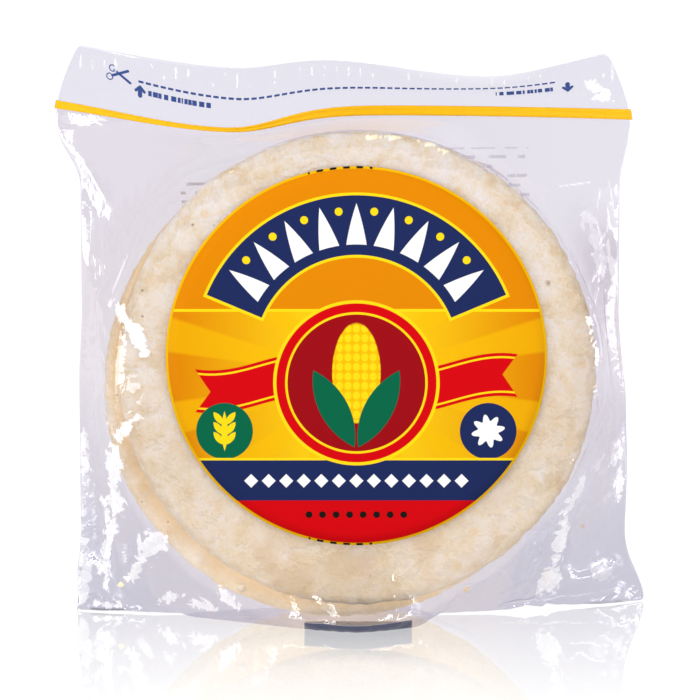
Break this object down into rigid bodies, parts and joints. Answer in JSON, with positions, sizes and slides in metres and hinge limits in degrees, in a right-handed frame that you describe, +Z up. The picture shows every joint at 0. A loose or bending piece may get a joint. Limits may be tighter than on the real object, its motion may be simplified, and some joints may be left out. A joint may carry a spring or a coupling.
{
  "type": "clear zip pouch of corn arepas",
  "caption": "Clear resealable pouch standing on its folded base, filled by an upright stack of round white corn cakes, with a wavy header over yellow closing strips and a round printed label.",
  "frame": {"origin": "middle of the footprint box, on the surface that the pouch stands on", "axes": "+X to the pouch's right seen from its front, +Y from its front to its back, +Z up"},
  "size_m": [0.1538, 0.055, 0.1477],
  "materials": {
    "film": "clear glossy film with a faint lavender tint",
    "zip": "glossy yellow ribbed strip",
    "label": "glossy printed film, orange with yellow, red and navy fields",
    "corn_cake": "matt crumbly cream corn dough"
  },
  "bodies": {
    "root": {"pouch": "film", "zip_front": "zip", "zip_back": "zip", "label": "label"}
  },
  "joints": []
}
